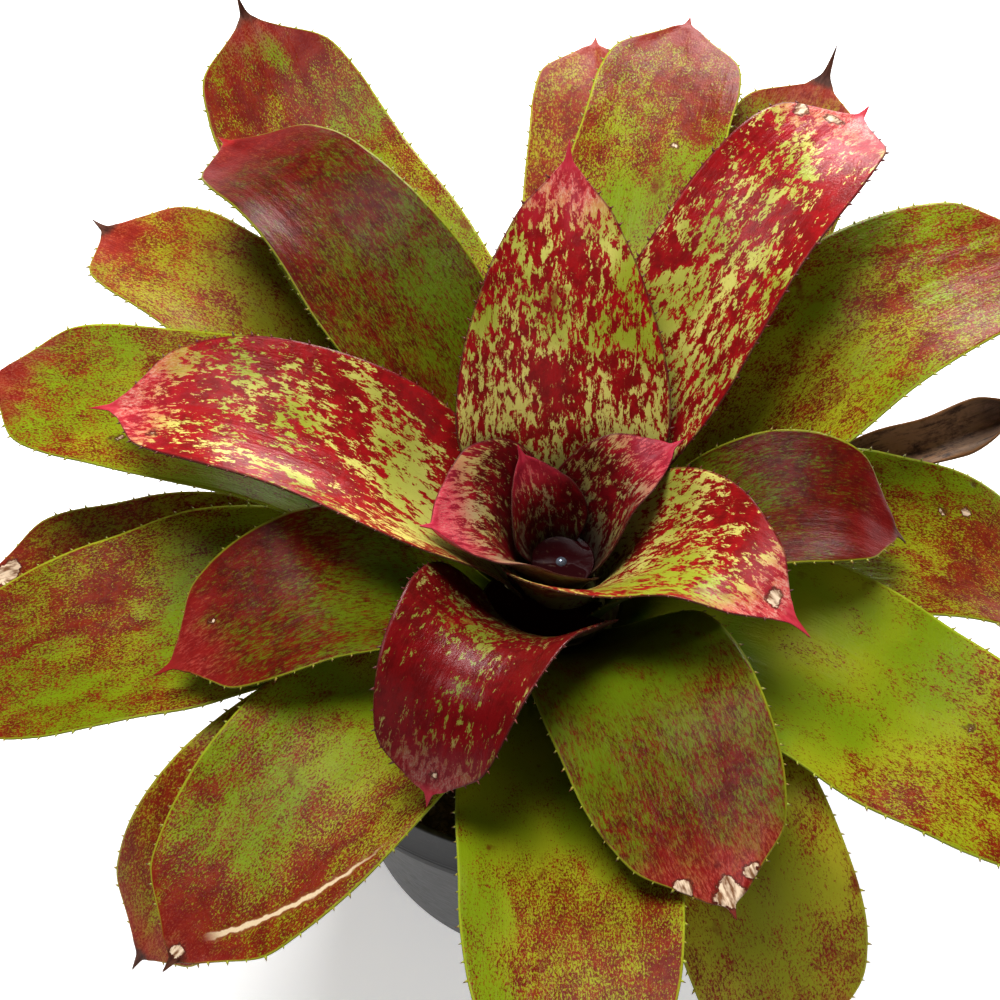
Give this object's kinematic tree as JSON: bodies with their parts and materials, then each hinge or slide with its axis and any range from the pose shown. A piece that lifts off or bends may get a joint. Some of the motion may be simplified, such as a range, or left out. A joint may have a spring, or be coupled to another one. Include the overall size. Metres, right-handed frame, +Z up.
{
  "type": "potted bromeliad",
  "caption": "Potted tank bromeliad: a rosette of broad, spine-edged strap leaves, red at the heart and green outside, round a water-filled cup, in a round tapered plastic pot.",
  "frame": {"origin": "middle of the flat underside of the pot", "axes": "+Z up along the pot's axis and the plant's stem; -Y is the front, +X to the right seen from the front"},
  "size_m": [0.2906, 0.3355, 0.1818],
  "materials": {
    "pot_plastic": "dull dark grey moulded plastic",
    "bark_mix": "damp bark chips and peat",
    "stem_tissue": "matt plant tissue",
    "standing_water": "still water, glossy",
    "cup_leaf": "waxy, blotched crimson over green",
    "heart_leaf": "waxy, streaked crimson over yellow-green",
    "middle_leaf": "waxy, dark red-brown over olive green",
    "outer_leaf": "waxy yellow-green, stippled maroon",
    "low_leaf": "waxy, older, orange-red over yellow-green",
    "dried_leaf": "dry, wrinkled"
  },
  "bodies": {
    "root": {"axil_water": "standing_water", "cup_leaf_back": "cup_leaf", "cup_leaf_left": "cup_leaf", "cup_leaf_right": "cup_leaf", "cup_water": "standing_water", "dried_leaf": "dried_leaf", "heart_leaf_back": "heart_leaf", "heart_leaf_back_right": "heart_leaf", "heart_leaf_front": "heart_leaf", "heart_leaf_left": "heart_leaf", "heart_leaf_right": "heart_leaf", "low_leaf_back": "low_leaf", "low_leaf_back_right": "low_leaf", "low_leaf_far_left": "low_leaf", "low_leaf_front_left": "low_leaf", "low_leaf_front_right": "low_leaf", "low_leaf_left": "low_leaf", "middle_leaf_back_left": "middle_leaf", "middle_leaf_front_left": "middle_leaf", "middle_leaf_front_right": "middle_leaf", "middle_leaf_right": "middle_leaf", "outer_leaf_back": "outer_leaf", "outer_leaf_back_left": "outer_leaf", "outer_leaf_front": "outer_leaf", "outer_leaf_front_left": "outer_leaf", "outer_leaf_left": "outer_leaf", "outer_leaf_left_high": "outer_leaf", "outer_leaf_right": "outer_leaf", "outer_leaf_right_high": "outer_leaf", "outer_leaf_right_low": "outer_leaf", "pot": "pot_plastic", "potting_mix": "bark_mix", "stem": "stem_tissue"}
  },
  "joints": []
}
